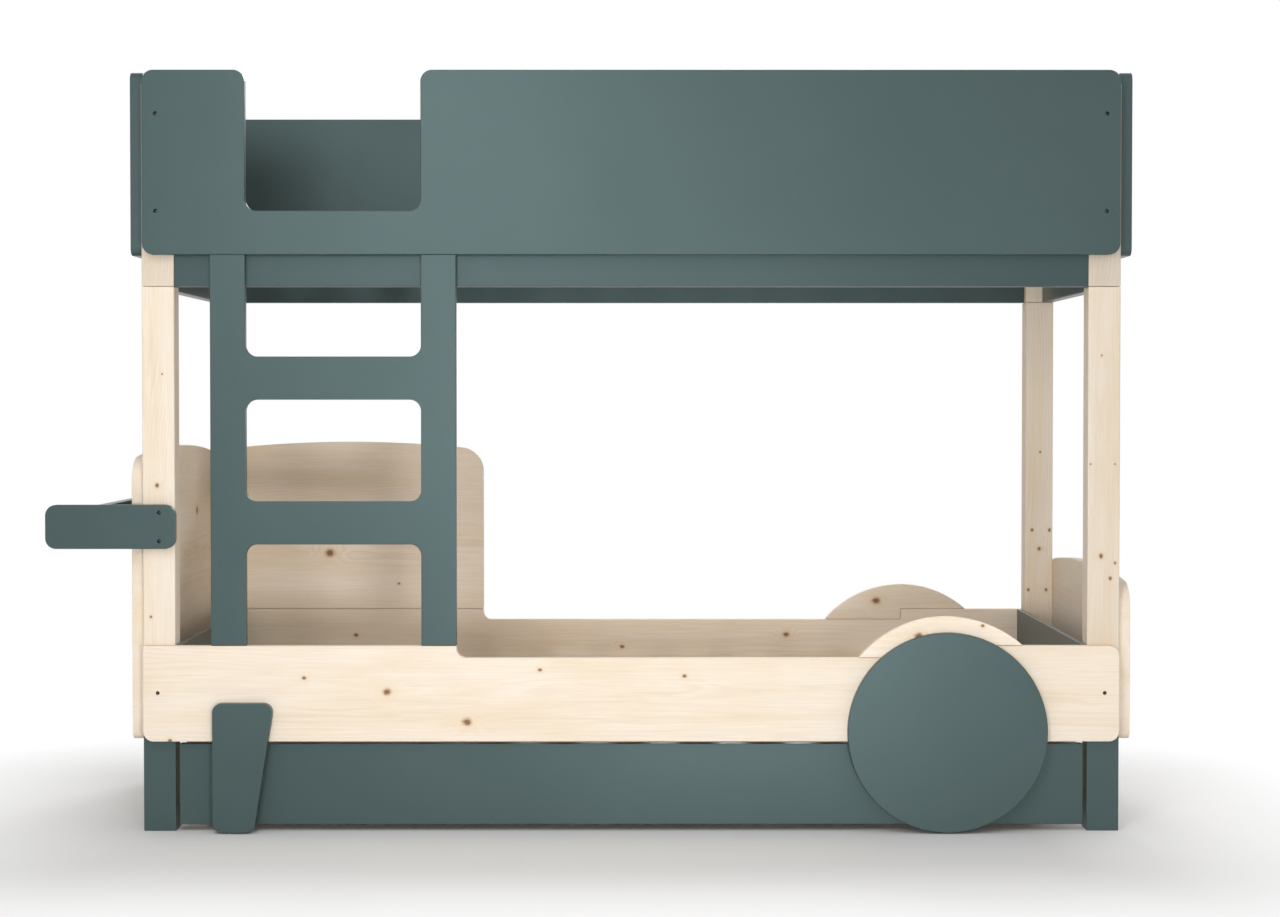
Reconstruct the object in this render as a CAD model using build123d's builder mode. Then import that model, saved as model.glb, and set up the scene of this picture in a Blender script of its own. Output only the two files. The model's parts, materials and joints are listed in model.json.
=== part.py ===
from build123d import *
from math import sqrt
import os

# A child's bunk bed of painted boards and pine, with a rolling trundle drawer.
# Lengths are in millimetres. +X runs to the foot end on the right, +Y to the back, +Z up.
# The origin is under the middle of the whole bed, on the floor.

# Boards and posts
board = 22.0                 # front, back, ladder and shelf boards
end_board = 27.0             # headboard, footboard and upper end panels
end_lining = 10.0            # thin boards inside the ends of the lower bed
post_width = 69.0            # along the length of the bed
post_depth = 58.0            # across the bed
post_ease = 2.0              # chamfer on the posts' upright edges
inside_length = 1954.0       # between the posts
inside_width = 920.0         # between the front and back boards

# Pegs, bolts and fits
peg_fit = 0.05               # radial, for dowels, pins, bolts and screws in their bores
bore_end_gap = 0.5
dowel_radius = 5.0
dowel_length = 50.0
leg_dowel_radius = 8.0
leg_dowel_length = 80.0
stacking_pin_radius = 6.0
stacking_pin_length = 90.0
bolt_radius = 4.2
bolt_length = 46.0
bolt_sink = 7.0              # from the board's face down to the bolt

# Lower bed
rail_bottom = 195.0
leg_rise = 35.0              # top of the legs above the rails' lower edge
rail_low_height = 179.0
rail_step = 26.0             # from the low part of the rail up to the high part
rail_end_inset = 3.0         # from the post's outer face
rail_corner_radius = 22.0
rail_hollow_radius = 20.0
rail_bolt_rise = 104.0       # above the rail's lower edge
seam_height = 1167.0         # where the upper bed stands on the lower one

# Wheel disc and the arch behind it
wheel_inset = 303.0          # from the right posts to the wheel's centre
wheel_radius = 213.0
floor_gap = 3.0              # under the wheel disc and the foot
arch_reach = 33.0            # beyond the disc
disc_gap = 0.5               # between the moving disc and the rail

# Crowned boards
end_board_inset = 40.0       # from the front and back faces of the bed
crown_rise = 23.0
crown_corner_radius = 60.0
end_corner_radius = 17.0
headboard_height = 625.0
footboard_height = 355.0
end_bolt_rise = 90.0         # lower bolts above the board's lower edge
headboard_bolt_drop = 180.0  # upper bolts below the crown
footboard_bolt_drop = 80.0
raised_panel_height = 420.0
raised_panel_rise = 20.0
raised_panel_bolt_rise = 120.0

# Lower bed inside
ledger_width = 26.0
ledger_height = 32.0
slat_count = 13
slat_width = 90.0
slat_thickness = 18.0
slat_end_gap = 2.0
slat_end_margin = 30.0       # from the last slat to the end of its bay

# Upper bed
guard_rise = 67.0            # lower edge of the guard panels above the seam
guard_height = 392.0
guard_end_inset = 5.0        # from the post's outer face
guard_corner_radius = 25.0
guard_bolt_inset = 92.5      # from the lower and upper edges
end_panel_bolt_inset = 143.0
notch_sill = 93.0            # height of the panel left below the notch
post_top_drop = 26.0         # top of the upper posts below the guard panels' top
base_rail_height = 105.0
base_rail_depth = 30.0
base_end_rail_depth = 28.0

# Ladder
ladder_inset = 80.0          # from the left posts
ladder_width = 524.0
ladder_stile = 75.0
ladder_rung_count = 2
ladder_rung_height = 92.0
ladder_corner_radius = 24.0

# Shelf outside the headboard
shelf_reach = 177.0          # past the headboard's outer face
shelf_bracket_overlap = 4.0  # past the post's inner face
shelf_bottom = 607.0
shelf_bracket_height = 94.0
shelf_corner_radius = 23.0
shelf_board_rise = 25.0      # underside of the tray above the brackets' lower edge
shelf_board_thickness = 18.0
shelf_lip_height = 48.0
shelf_bolt_inset_x = 34.0    # from the bracket's inner end
shelf_bolt_inset_z = 16.5    # from its lower and upper edges

# Trundle drawer
drawer_side_gap = 8.0        # to each leg
drawer_floor_gap = 14.0      # under the drawer front
drawer_top_gap = 7.0         # from the drawer front to the rail's lower edge
drawer_side_drop = 8.0       # top of the sides below the top of the front
drawer_side_board = 18.0
drawer_bottom_board = 12.0
drawer_back_gap = 18.0       # from the drawer's back to the inner face of the back rail
foot_inset = 5.0             # from the ladder's left edge
foot_top_width = 135.0
foot_bottom_width = 88.0
foot_height = 276.0
foot_corner_radius = 20.0
pull_block_height = 70.0
wheel_block_width = 200.0
foot_block_width = 70.0
pull_screw_radius = 3.0
pull_screw_inset = 16.0      # from the ends of each block
pull_screw_bite = 15.0       # into the disc or the foot
pull_screw_sink = 1.0        # below the inner face of the drawer front

# Casters
caster_radius = 22.5
caster_width = 20.0
caster_side_gap = 0.5
caster_bore_gap = 0.08
caster_rim_ease = 3.0
caster_axle_radius = 4.0
caster_axle_end = 2.0        # past each cheek
caster_plate = 2.0
caster_plate_length = 60.0
caster_plate_width = 46.0
caster_cheek_width = 26.0
caster_cheek_drop = 9.0      # below the axle's centre
caster_cheek_ease = 7.0      # chamfer at the cheeks' lower corners
caster_top_gap = 5.0         # between the wheel and its plate
caster_inset_x = 110.0       # from the drawer's inner sides
caster_inset_y = 85.0        # from the drawer's inner front and back

cut_over = 5.0               # overrun of the ladder's open-ended cuts

# Places along the bed, from the middle of the frame
post_inner = inside_length / 2
post_outer = post_inner + post_width
post_x = post_inner + post_width / 2
end_outer = post_outer + end_board
shelf_outer = end_outer + shelf_reach
rail_length = 2 * (post_outer - rail_end_inset)
guard_length = 2 * (post_outer - guard_end_inset)
wheel_x = post_inner - wheel_inset
ladder_left = ladder_inset - post_inner
ladder_right = ladder_left + ladder_width
ladder_middle = ladder_left + ladder_width / 2
opening_left = ladder_left + ladder_stile
opening_right = ladder_right - ladder_stile
foot_left = ladder_left + foot_inset
shelf_bracket_length = shelf_reach + end_board + post_width + shelf_bracket_overlap
shelf_bolt_x = shelf_bracket_length - shelf_outer - shelf_bolt_inset_x
drawer_half = post_inner - drawer_side_gap
drawer_inside_half = drawer_half - drawer_side_board

# Places across the bed and the place of the frame over the origin
frame_depth = inside_width + 2 * board
end_board_width = frame_depth - 2 * end_board_inset
post_y = inside_width / 2 - post_depth / 2
disc_reach = disc_gap + board
mid_x = (shelf_outer - end_outer) / 2
front_y = disc_reach - (disc_reach + frame_depth + board) / 2
back_y = front_y + frame_depth
mid_y = front_y + frame_depth / 2
drawer_front_y = front_y + board
drawer_back_y = back_y - board - drawer_back_gap

# Heights
leg_height = rail_bottom + leg_rise
rail_low_top = rail_bottom + rail_low_height
rail_high_top = rail_low_top + rail_step
rail_bolt_height = rail_bottom + rail_bolt_rise
wheel_z = floor_gap + wheel_radius
arch_radius = wheel_radius + arch_reach
headboard_top = rail_bottom + headboard_height
footboard_top = rail_bottom + footboard_height
raised_panel_top = rail_high_top + raised_panel_height
slat_bed = leg_height + ledger_height
guard_bottom = seam_height + guard_rise
guard_top = guard_bottom + guard_height
notch_bottom = guard_bottom + notch_sill
upper_post_top = guard_top - post_top_drop
base_rail_top = seam_height + base_rail_height
ladder_rise = guard_bottom - rail_high_top
ladder_gap_height = (ladder_rise - ladder_rung_count * ladder_rung_height) / (ladder_rung_count + 1)
ladder_pitch = ladder_gap_height + ladder_rung_height
rung_bottoms = [guard_bottom - step * ladder_pitch for step in range(ladder_rung_count, 0, -1)]
rung_tops = [bottom + ladder_rung_height for bottom in rung_bottoms]
foot_top = floor_gap + foot_height
drawer_bottom = 2 * caster_radius + caster_top_gap + caster_plate
drawer_front_top = rail_bottom - drawer_top_gap
drawer_side_top = drawer_front_top - drawer_side_drop

os.makedirs("parts", exist_ok=True)

corners = {
    "front_left": (-1, -1),
    "front_right": (1, -1),
    "back_left": (-1, 1),
    "back_right": (1, 1),
}


# Planes to draw on
def across(y):
    """Upright plane along the bed, seen from the front, with its extrusions going forward."""
    return Plane(origin=(mid_x, y, 0), x_dir=(1, 0, 0), z_dir=(0, -1, 0))


def along(x):
    """Upright plane across the bed, with its extrusions going to the right."""
    return Plane(origin=(mid_x + x, mid_y, 0), x_dir=(0, 1, 0), z_dir=(1, 0, 0))


def level(z):
    """Level plane centred in the frame."""
    return Plane(origin=(mid_x, mid_y, z))


def facing_front(x, z):
    """Point on the outer face of the front boards, looking out."""
    return Plane(origin=(mid_x + x, front_y, z), x_dir=(1, 0, 0), z_dir=(0, -1, 0))


def facing_back(x, z, y=back_y):
    """Point on the outer face of the back boards, looking out."""
    return Plane(origin=(mid_x + x, y, z), x_dir=(-1, 0, 0), z_dir=(0, 1, 0))


def facing_end(side, y, z):
    """Point on the outer face of an end board, looking out."""
    return Plane(origin=(mid_x + side * end_outer, mid_y + y, z), x_dir=(0, 1, 0), z_dir=(side, 0, 0))


# Where the bolts and pegs are
end_bolt_y = (end_board_width / 2 + inside_width / 2 - post_depth) / 2
guard_bolt_heights = (guard_bottom + guard_bolt_inset, guard_top - guard_bolt_inset)
end_panel_bolt_heights = (guard_bottom + end_panel_bolt_inset, guard_top - end_panel_bolt_inset)
headboard_bolt_heights = (rail_bottom + end_bolt_rise, headboard_top - headboard_bolt_drop)
footboard_bolt_heights = (rail_bottom + end_bolt_rise, footboard_top - footboard_bolt_drop)
shelf_bolt_heights = (shelf_bottom + shelf_bolt_inset_z,
                      shelf_bottom + shelf_bracket_height - shelf_bolt_inset_z)

rail_bolts = [(side * post_x, rail_bolt_height) for side in (-1, 1)]
guard_bolts = [(side * post_x, height) for side in (-1, 1) for height in guard_bolt_heights]
shelf_bolts = [(shelf_bolt_x, height) for height in shelf_bolt_heights]
raised_panel_bolts = [(-post_x, rail_high_top + raised_panel_bolt_rise)]

front_bolts = [facing_front(x, z) for x, z in rail_bolts + guard_bolts + shelf_bolts]
back_bolts = [facing_back(x, z) for x, z in rail_bolts + guard_bolts + raised_panel_bolts]
shelf_back_bolts = [facing_back(x, z, back_y + board) for x, z in shelf_bolts]
long_bolt_length = bolt_length + board


def end_bolt_places(side, heights):
    """Bolts through an end board into its two posts."""
    return [facing_end(side, y * end_bolt_y, height) for y in (-1, 1) for height in heights]


headboard_bolts = end_bolt_places(-1, headboard_bolt_heights)
footboard_bolts = end_bolt_places(1, footboard_bolt_heights)
end_panel_bolts = {side: end_bolt_places(side, end_panel_bolt_heights) for side in (-1, 1)}
end_bolts = headboard_bolts + footboard_bolts + end_panel_bolts[-1] + end_panel_bolts[1]


def upright(x, y, z):
    """Level plane at a point, for a peg that stands upright."""
    return Plane(origin=(mid_x + x, mid_y + y, z))


front_board_y = -(inside_width + board) / 2
post_places = {name: (side * post_x, end * post_y) for name, (side, end) in corners.items()}
leg_dowels = {name: upright(x, y, leg_height) for name, (x, y) in post_places.items()}
stacking_pins = {name: upright(x, y, seam_height) for name, (x, y) in post_places.items()}

arch_low_half = sqrt(arch_radius**2 - (wheel_z - rail_low_top) ** 2)
arch_high_half = sqrt(arch_radius**2 - (wheel_z - rail_high_top) ** 2)
arch_dowels = {
    end: [upright(wheel_x - arch_low_half / 2, -end * front_board_y, rail_low_top),
          upright(wheel_x + arch_high_half / 2, -end * front_board_y, rail_high_top)]
    for end in (-1, 1)
}
stile_xs = [ladder_left + ladder_stile / 2, ladder_right - ladder_stile / 2]
ladder_foot_dowels = [upright(x, front_board_y, rail_high_top) for x in stile_xs]
ladder_head_dowels = [upright(x, front_board_y, guard_bottom) for x in stile_xs]
raised_panel_width = rail_length / 2 + ladder_right
raised_panel_x = ladder_right - raised_panel_width / 2
raised_panel_dowels = [upright(raised_panel_x + side * raised_panel_width / 4, -front_board_y, rail_high_top)
                       for side in (-1, 1)]
base_end_y = inside_width / 2 - post_depth
shelf_board_bottom = shelf_bottom + shelf_board_rise
shelf_board_x = -(end_outer + shelf_outer - board) / 2
shelf_lip_x = board / 2 - shelf_outer
shelf_length = inside_width + board
shelf_y = board / 2
ladder_dowels = ladder_foot_dowels + ladder_head_dowels
board_dowels = arch_dowels[-1] + arch_dowels[1] + ladder_dowels + raised_panel_dowels


# Cuts shared by many pieces
def bore_bolts(bolts, length=bolt_length):
    """Bolt holes from the board's face down into the post, for whichever of the two is being built."""
    with Locations(*bolts):
        Hole(bolt_radius + peg_fit, depth=bolt_sink + length + bore_end_gap)


def bore_pegs(pegs, radius, length):
    """Bores for pegs that lie half in the piece being built."""
    with Locations(*pegs):
        Hole(radius + peg_fit, depth=length / 2 + bore_end_gap)


def bore_dowels(pegs):
    """Bores for the common dowels."""
    bore_pegs(pegs, dowel_radius, dowel_length)


def near(sketch, x, z):
    """Corner of a sketch that lies nearest a point."""
    return sketch.vertices().sort_by_distance((x, z))[0]


def finish(piece, name):
    """Label a piece and write it out."""
    piece.part.label = name
    export_step(piece.part, f"parts/{name}.step")


# Legs, posts and upper posts, one of each at every corner
def post_section(x, y):
    """Plan of a post."""
    with Locations((x, y)):
        Rectangle(post_width, post_depth)


def ease_post(built):
    """Chamfer the four upright edges of a post."""
    chamfer(built.edges().filter_by(Axis.Z), length=post_ease)


for name, (x, y) in post_places.items():
    side, end = corners[name]
    bolts_here = front_bolts if end < 0 else back_bolts

    with BuildPart() as leg:
        with BuildSketch(level(0)):
            post_section(x, y)
        extrude(amount=leg_height)
        ease_post(leg)
        bore_pegs([leg_dowels[name]], leg_dowel_radius, leg_dowel_length)
    finish(leg, f"leg_{name}")

    with BuildPart() as post:
        with BuildSketch(level(leg_height)):
            post_section(x, y)
        extrude(amount=seam_height - leg_height)
        ease_post(post)
        bore_pegs([leg_dowels[name]], leg_dowel_radius, leg_dowel_length)
        bore_pegs([stacking_pins[name]], stacking_pin_radius, stacking_pin_length)
        bore_bolts(bolts_here)
        bore_bolts(shelf_back_bolts, long_bolt_length)
        bore_bolts(headboard_bolts if side < 0 else footboard_bolts)
    finish(post, f"post_{name}")

    with BuildPart() as upper_post:
        with BuildSketch(level(seam_height)):
            post_section(x, y)
        extrude(amount=upper_post_top - seam_height)
        ease_post(upper_post)
        bore_pegs([stacking_pins[name]], stacking_pin_radius, stacking_pin_length)
        bore_bolts(bolts_here)
        bore_bolts(end_panel_bolts[side])
    finish(upper_post, f"upper_post_{name}")


# Lower rails, with a top that steps down beside the ladder and up again at the wheel
def rail_face(y):
    """Outline of a lower rail."""
    half = rail_length / 2
    with BuildSketch(across(y)) as outline:
        with BuildLine():
            Polyline(
                (-half, rail_bottom),
                (half, rail_bottom),
                (half, rail_high_top),
                (wheel_x, rail_high_top),
                (wheel_x, rail_low_top),
                (ladder_right, rail_low_top),
                (ladder_right, rail_high_top),
                (-half, rail_high_top),
                close=True,
            )
        make_face()
        fillet([near(outline, side * half, rail_bottom) for side in (-1, 1)], rail_corner_radius)
        fillet(near(outline, half, rail_high_top), rail_corner_radius)
        fillet(near(outline, ladder_right, rail_low_top), rail_hollow_radius)
    return outline.sketch


with BuildPart() as lower_front_rail:
    extrude(rail_face(front_y + board), amount=board)
    bore_bolts(front_bolts)
    bore_dowels(arch_dowels[-1] + ladder_foot_dowels)
finish(lower_front_rail, "lower_front_rail")

with BuildPart() as lower_back_rail:
    extrude(rail_face(back_y), amount=board)
    bore_bolts(back_bolts)
    bore_dowels(arch_dowels[1] + raised_panel_dowels)
finish(lower_back_rail, "lower_back_rail")


# Wheel arches on the stepped tops of the lower rails
def arch_face(y):
    """Round top over the step in the rail."""
    left = (wheel_x - arch_low_half, rail_low_top)
    right = (wheel_x + arch_high_half, rail_high_top)
    with BuildSketch(across(y)) as outline:
        with BuildLine():
            ThreePointArc(left, (wheel_x, wheel_z + arch_radius), right)
            Polyline(right, (wheel_x, rail_high_top), (wheel_x, rail_low_top), left)
        make_face()
    return outline.sketch


for name, end, face_y in (("front_arch", -1, front_y + board), ("back_arch", 1, back_y)):
    with BuildPart() as arch:
        extrude(arch_face(face_y), amount=board)
        bore_dowels(arch_dowels[end])
    finish(arch, name)


# Headboard, footboard and the raised back panel, all with a crowned top
def crowned_face(plane, width, bottom, crown, rise, low_radius):
    """Board with a gently arched top and rounded corners."""
    shoulder = crown - rise
    half = width / 2
    with BuildSketch(plane) as outline:
        with BuildLine():
            Polyline((-half, shoulder), (-half, bottom), (half, bottom), (half, shoulder))
            ThreePointArc((half, shoulder), (0, crown), (-half, shoulder))
        make_face()
        fillet([near(outline, side * half, shoulder) for side in (-1, 1)], crown_corner_radius)
        if low_radius:
            fillet([near(outline, side * half, bottom) for side in (-1, 1)], low_radius)
    return outline.sketch


def end_face(x, top):
    """Outline of the headboard or the footboard."""
    return crowned_face(along(x), end_board_width, rail_bottom, top, crown_rise, end_corner_radius)


with BuildPart() as headboard:
    extrude(end_face(-end_outer, headboard_top), amount=end_board)
    bore_bolts(headboard_bolts)
finish(headboard, "headboard")

with BuildPart() as footboard:
    extrude(end_face(post_outer, footboard_top), amount=end_board)
    bore_bolts(footboard_bolts)
finish(footboard, "footboard")

raised_panel_plane = Plane(origin=(mid_x + raised_panel_x, back_y, 0), x_dir=(1, 0, 0), z_dir=(0, -1, 0))
with BuildPart() as raised_back_panel:
    extrude(crowned_face(raised_panel_plane, raised_panel_width, rail_high_top, raised_panel_top,
                         raised_panel_rise, 0), amount=board)
    bore_bolts(back_bolts)
    bore_bolts(shelf_back_bolts, long_bolt_length)
    bore_dowels(raised_panel_dowels)
finish(raised_back_panel, "raised_back_panel")

# Boards inside the two ends of the lower bed
for name, side in (("lower_end_board_left", -1), ("lower_end_board_right", 1)):
    with BuildPart() as lower_end_board:
        with BuildSketch(level(leg_height)):
            with Locations((side * (post_inner - end_lining / 2), 0)):
                Rectangle(end_lining, inside_width)
        extrude(amount=rail_high_top - leg_height)
    finish(lower_end_board, name)

# Ledgers that carry the lower slats
lower_bay = inside_length - 2 * end_lining
for name, end in (("ledger_front", -1), ("ledger_back", 1)):
    with BuildPart() as ledger:
        with BuildSketch(level(leg_height)):
            with Locations((0, end * (inside_width - ledger_width) / 2)):
                Rectangle(lower_bay, ledger_width)
        extrude(amount=ledger_height)
    finish(ledger, name)


# Slats
def slat_group(z, bay):
    """A row of slats across the bed, evenly spaced along a bay."""
    pitch = (bay - 2 * slat_end_margin - slat_width) / (slat_count - 1)
    with BuildSketch(level(z)) as slats:
        with GridLocations(pitch, inside_width, slat_count, 1):
            Rectangle(slat_width, inside_width - 2 * slat_end_gap)
    return slats.sketch


with BuildPart() as lower_slats:
    extrude(slat_group(slat_bed, lower_bay), amount=slat_thickness)
finish(lower_slats, "lower_slats")

with BuildPart() as upper_slats:
    extrude(slat_group(base_rail_top, inside_length), amount=slat_thickness)
finish(upper_slats, "upper_slats")


# Upper bed: guard panels on all four sides and the frame that carries the slats
def guard_face(y):
    """Plain guard panel."""
    with BuildSketch(across(y)) as outline:
        with Locations((0, (guard_bottom + guard_top) / 2)):
            RectangleRounded(guard_length, guard_height, guard_corner_radius)
    return outline.sketch


def entry_face(y):
    """Front guard panel, cut down above the ladder."""
    half = guard_length / 2
    with BuildSketch(across(y)) as outline:
        with BuildLine():
            Polyline(
                (-half, guard_bottom),
                (half, guard_bottom),
                (half, guard_top),
                (opening_right, guard_top),
                (opening_right, notch_bottom),
                (opening_left, notch_bottom),
                (opening_left, guard_top),
                (-half, guard_top),
                close=True,
            )
        make_face()
        fillet(outline.vertices(), guard_corner_radius)
    return outline.sketch


with BuildPart() as upper_front_panel:
    extrude(entry_face(front_y + board), amount=board)
    bore_bolts(front_bolts)
    bore_dowels(ladder_head_dowels)
finish(upper_front_panel, "upper_front_panel")

with BuildPart() as upper_back_panel:
    extrude(guard_face(back_y), amount=board)
    bore_bolts(back_bolts)
finish(upper_back_panel, "upper_back_panel")

for name, side, face_x in (("upper_end_panel_left", -1, -end_outer),
                           ("upper_end_panel_right", 1, post_outer)):
    with BuildPart() as upper_end_panel:
        with BuildSketch(along(face_x)):
            with Locations((0, (guard_bottom + guard_top) / 2)):
                RectangleRounded(end_board_width, guard_height, end_corner_radius)
        extrude(amount=end_board)
        bore_bolts(end_panel_bolts[side])
    finish(upper_end_panel, name)

for name, end in (("base_rail_front", -1), ("base_rail_back", 1)):
    with BuildPart() as base_rail:
        with BuildSketch(level(seam_height)):
            with Locations((0, end * (inside_width - base_rail_depth) / 2)):
                Rectangle(inside_length, base_rail_depth)
        extrude(amount=base_rail_height)
    finish(base_rail, name)

for name, side in (("base_rail_left", -1), ("base_rail_right", 1)):
    with BuildPart() as base_end_rail:
        with BuildSketch(level(seam_height)):
            with Locations((side * (post_outer - base_end_rail_depth / 2), 0)):
                Rectangle(base_end_rail_depth, 2 * base_end_y)
        extrude(amount=base_rail_height)
    finish(base_end_rail, name)


# Ladder, one board with its openings cut out
def ladder_gap(bottom, top, round_bottom, round_top):
    """Opening of the ladder, rounded where it meets a rung."""
    with BuildSketch(across(front_y + board)) as gap:
        with Locations((ladder_middle, (bottom + top) / 2)):
            Rectangle(opening_right - opening_left, top - bottom)
        rounded = [near(gap, edge, height)
                   for edge in (opening_left, opening_right)
                   for height, wanted in ((bottom, round_bottom), (top, round_top)) if wanted]
        fillet(rounded, ladder_corner_radius)
    return gap.sketch


with BuildPart() as ladder:
    with BuildSketch(across(front_y + board)):
        with Locations((ladder_middle, (rail_high_top + guard_bottom) / 2)):
            Rectangle(ladder_width, ladder_rise)
    extrude(amount=board)
    extrude(ladder_gap(rail_high_top - cut_over, rung_bottoms[0], False, True), amount=board,
            mode=Mode.SUBTRACT)
    extrude(ladder_gap(rung_tops[0], rung_bottoms[1], True, True), amount=board, mode=Mode.SUBTRACT)
    extrude(ladder_gap(rung_tops[1], guard_bottom + cut_over, True, False), amount=board,
            mode=Mode.SUBTRACT)
    bore_dowels(ladder_foot_dowels + ladder_head_dowels)
finish(ladder, "ladder")


# Shelf outside the headboard
def bracket_face(y):
    """Outline of a shelf bracket."""
    with BuildSketch(across(y)) as outline:
        with Locations((shelf_bracket_length / 2 - shelf_outer, shelf_bottom + shelf_bracket_height / 2)):
            RectangleRounded(shelf_bracket_length, shelf_bracket_height, shelf_corner_radius)
    return outline.sketch


with BuildPart() as shelf_bracket_front:
    extrude(bracket_face(front_y + board), amount=board)
    bore_bolts(front_bolts)
finish(shelf_bracket_front, "shelf_bracket_front")

with BuildPart() as shelf_bracket_back:
    extrude(bracket_face(back_y + board), amount=board)
    bore_bolts(shelf_back_bolts, long_bolt_length)
finish(shelf_bracket_back, "shelf_bracket_back")

shelf_board_width = shelf_reach - board
with BuildPart() as shelf_board:
    with BuildSketch(level(shelf_board_bottom)):
        with Locations((shelf_board_x, shelf_y)):
            Rectangle(shelf_board_width, shelf_length)
    extrude(amount=shelf_board_thickness)
finish(shelf_board, "shelf_board")

with BuildPart() as shelf_lip:
    with BuildSketch(level(shelf_board_bottom)):
        with Locations((shelf_lip_x, shelf_y)):
            Rectangle(board, shelf_length)
    extrude(amount=shelf_lip_height)
finish(shelf_lip, "shelf_lip")

# Trundle drawer
drawer_depth = drawer_back_y - drawer_front_y
drawer_inside_depth = drawer_depth - board - drawer_side_board
drawer_front_back_y = drawer_front_y + board
drawer_inside_y = drawer_front_back_y + drawer_inside_depth / 2
drawer_side_height = drawer_side_top - drawer_bottom
drawer_front_z = (drawer_floor_gap + drawer_front_top) / 2
disc_back_y = front_y - disc_gap
pull_blocks = {wheel_x: wheel_block_width, foot_left + foot_bottom_width / 2: foot_block_width}
pull_screw_length = board - pull_screw_sink + disc_reach + pull_screw_bite
pull_screws = [
    Plane(origin=(mid_x + x + side * (width / 2 - pull_screw_inset), drawer_front_back_y - pull_screw_sink,
                  drawer_front_z), x_dir=(-1, 0, 0), z_dir=(0, 1, 0))
    for x, width in pull_blocks.items() for side in (-1, 1)
]


def bore_pulls():
    """Holes for the screws that hold the disc and the foot."""
    with Locations(*pull_screws):
        Hole(pull_screw_radius + peg_fit, depth=pull_screw_length + bore_end_gap)


with BuildPart() as drawer_front:
    with BuildSketch(across(drawer_front_back_y)):
        with Locations((0, drawer_front_z)):
            Rectangle(2 * drawer_half, drawer_front_top - drawer_floor_gap)
    extrude(amount=board)
    bore_pulls()
finish(drawer_front, "drawer_front")

for name, side in (("drawer_side_left", -1), ("drawer_side_right", 1)):
    with BuildPart() as drawer_side:
        with BuildSketch(Plane(origin=(mid_x, drawer_front_back_y, drawer_bottom))):
            with Locations((side * (drawer_half - drawer_side_board / 2), 0)):
                Rectangle(drawer_side_board, drawer_depth - board, align=(Align.CENTER, Align.MIN))
        extrude(amount=drawer_side_height)
    finish(drawer_side, name)

with BuildPart() as drawer_back:
    with BuildSketch(Plane(origin=(mid_x, drawer_back_y, drawer_bottom))):
        Rectangle(2 * drawer_inside_half, drawer_side_board, align=(Align.CENTER, Align.MAX))
    extrude(amount=drawer_side_height)
finish(drawer_back, "drawer_back")

with BuildPart() as drawer_floor:
    with BuildSketch(Plane(origin=(mid_x, drawer_inside_y, drawer_bottom))):
        Rectangle(2 * drawer_inside_half, drawer_inside_depth)
    extrude(amount=drawer_bottom_board)
finish(drawer_floor, "drawer_floor")

with BuildPart() as wheel_disc:
    with BuildSketch(across(disc_back_y)):
        with Locations((wheel_x, wheel_z)):
            Circle(wheel_radius)
    extrude(amount=board)
    bore_pulls()
finish(wheel_disc, "wheel_disc")

with BuildPart() as step_foot:
    with BuildSketch(across(disc_back_y)) as outline:
        with BuildLine():
            Polyline(
                (foot_left, floor_gap),
                (foot_left + foot_bottom_width, floor_gap),
                (foot_left + foot_top_width, foot_top),
                (foot_left, foot_top),
                close=True,
            )
        make_face()
        fillet(outline.vertices(), foot_corner_radius)
    extrude(amount=board)
    bore_pulls()
finish(step_foot, "step_foot")

with BuildPart() as pull_block_group:
    with BuildSketch(across(drawer_front_y)):
        for x, width in pull_blocks.items():
            with Locations((x, drawer_front_z)):
                Rectangle(width, pull_block_height)
    extrude(amount=disc_reach)
    bore_pulls()
finish(pull_block_group, "pull_blocks")

with BuildPart() as pull_screw_group:
    with Locations(*pull_screws):
        Cylinder(pull_screw_radius, pull_screw_length, align=(Align.CENTER, Align.CENTER, Align.MAX))
finish(pull_screw_group, "pull_screws")

# Casters under the drawer
caster_half_gap = caster_width / 2 + caster_side_gap
caster_x = drawer_inside_half - caster_inset_x
caster_y = drawer_inside_depth / 2 - caster_inset_y
caster_places = {name: (mid_x + side * caster_x, drawer_inside_y + end * caster_y)
                 for name, (side, end) in corners.items()}
plate_under = drawer_bottom - caster_plate


def caster_plane(x, y):
    """Upright plane through the axle of a caster, facing right."""
    return Plane(origin=(x, y, caster_radius), x_dir=(0, 1, 0), z_dir=(1, 0, 0))


cheek_height = plate_under - caster_radius + caster_cheek_drop
with BuildPart() as caster_brackets:
    for x, y in caster_places.values():
        with Locations((x, y, drawer_bottom)):
            Box(caster_plate_length, caster_plate_width, caster_plate,
                align=(Align.CENTER, Align.CENTER, Align.MAX))
        for cheek_x in (x - caster_half_gap - caster_plate, x + caster_half_gap):
            with BuildSketch(caster_plane(cheek_x, y)) as cheek:
                with Locations((0, -caster_cheek_drop)):
                    Rectangle(caster_cheek_width, cheek_height, align=(Align.CENTER, Align.MIN))
                chamfer(cheek.vertices().group_by(Axis.Y)[0], length=caster_cheek_ease)
            extrude(amount=caster_plate)
    with Locations(*[caster_plane(x, y) for x, y in caster_places.values()]):
        Hole(caster_axle_radius + peg_fit, depth=caster_plate_length / 2)
finish(caster_brackets, "caster_brackets")

axle_length = 2 * (caster_half_gap + caster_plate + caster_axle_end)
with BuildPart() as caster_axles:
    with Locations(*[caster_plane(x, y) for x, y in caster_places.values()]):
        Cylinder(caster_axle_radius, axle_length)
finish(caster_axles, "caster_axles")

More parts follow.
